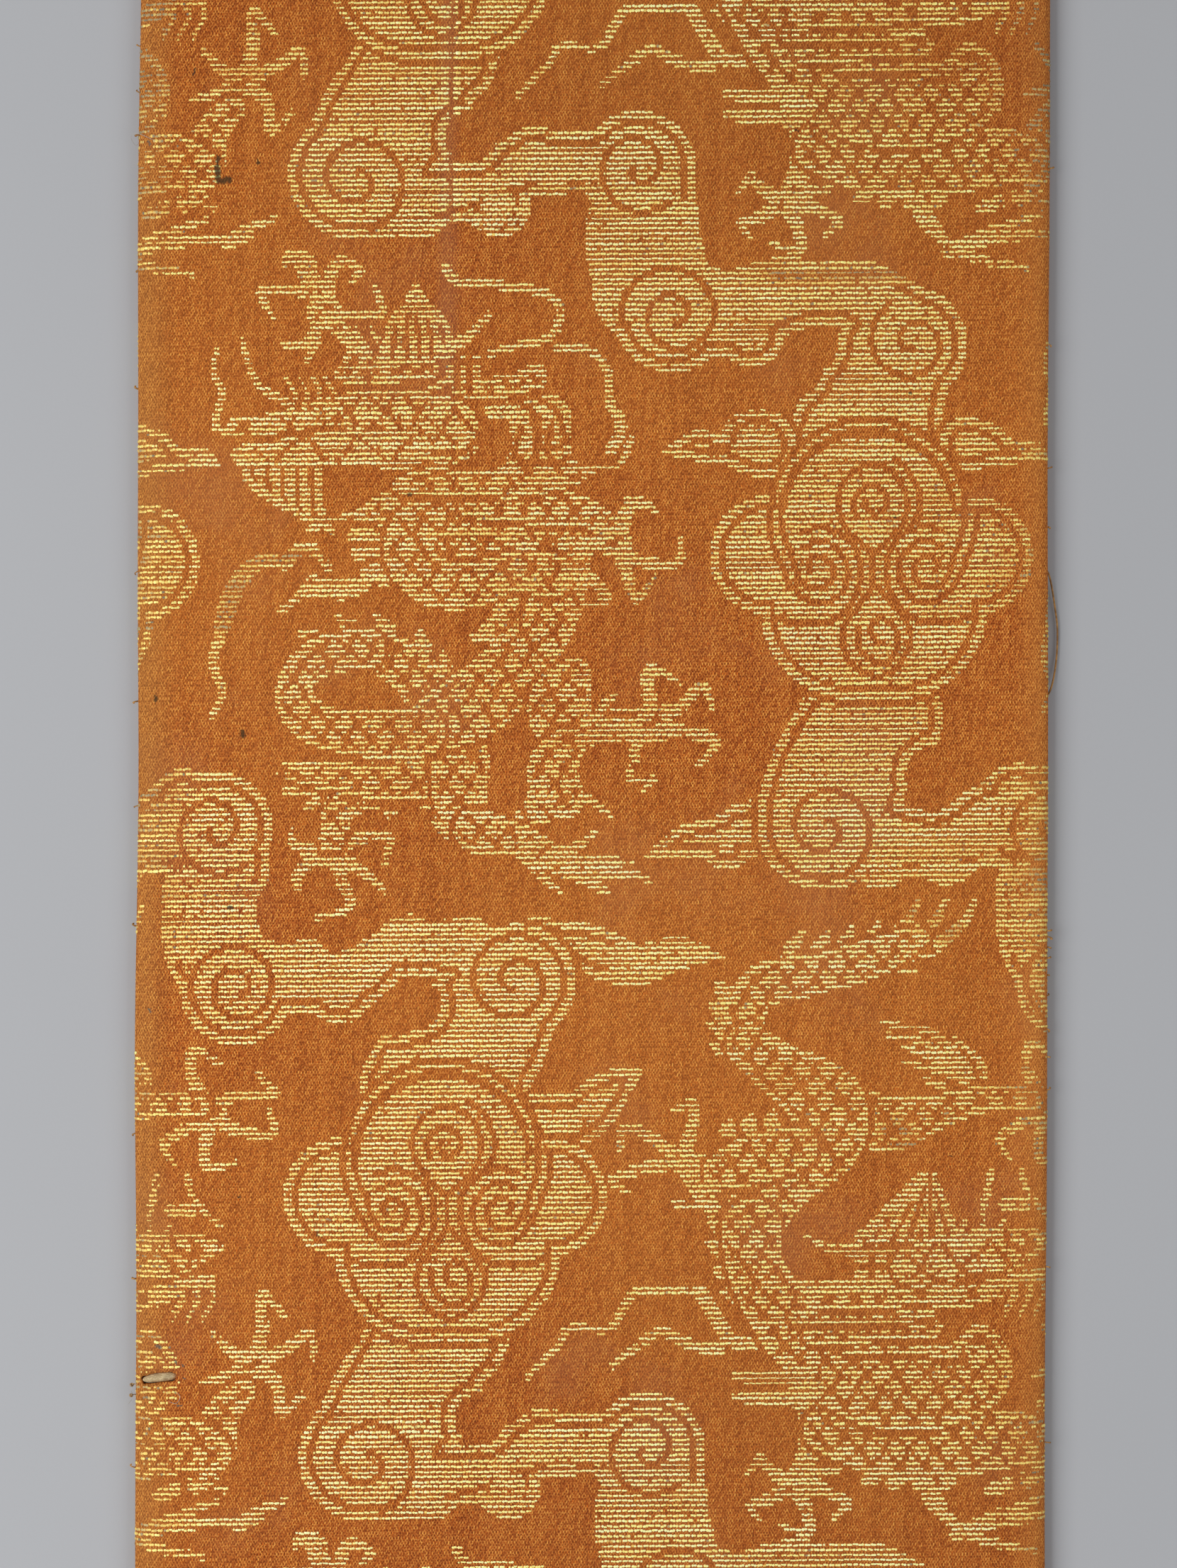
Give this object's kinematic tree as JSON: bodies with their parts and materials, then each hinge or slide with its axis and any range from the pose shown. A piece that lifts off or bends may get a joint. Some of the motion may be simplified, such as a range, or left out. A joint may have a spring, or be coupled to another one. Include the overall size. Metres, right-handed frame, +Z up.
{
  "type": "brocade panel",
  "caption": "Flat narrow panel of orange silk brocade with dragons and clouds in gilt weft, its edges turned under over a thin paper board.",
  "frame": {"origin": "under the middle of the panel, on the surface that it lies on", "axes": "+X across the width to the right of the figured face, +Y along the length to its top, +Z up out of the face"},
  "size_m": [0.1273, 0.364, 0.0036],
  "materials": {
    "brocade_silk": "orange silk twill with worn gilt-paper wefts",
    "pasted_paper": "matt fibrous pasted paper"
  },
  "bodies": {
    "root": {"brocade_cloth": "brocade_silk", "paper_board": "pasted_paper"}
  },
  "joints": []
}
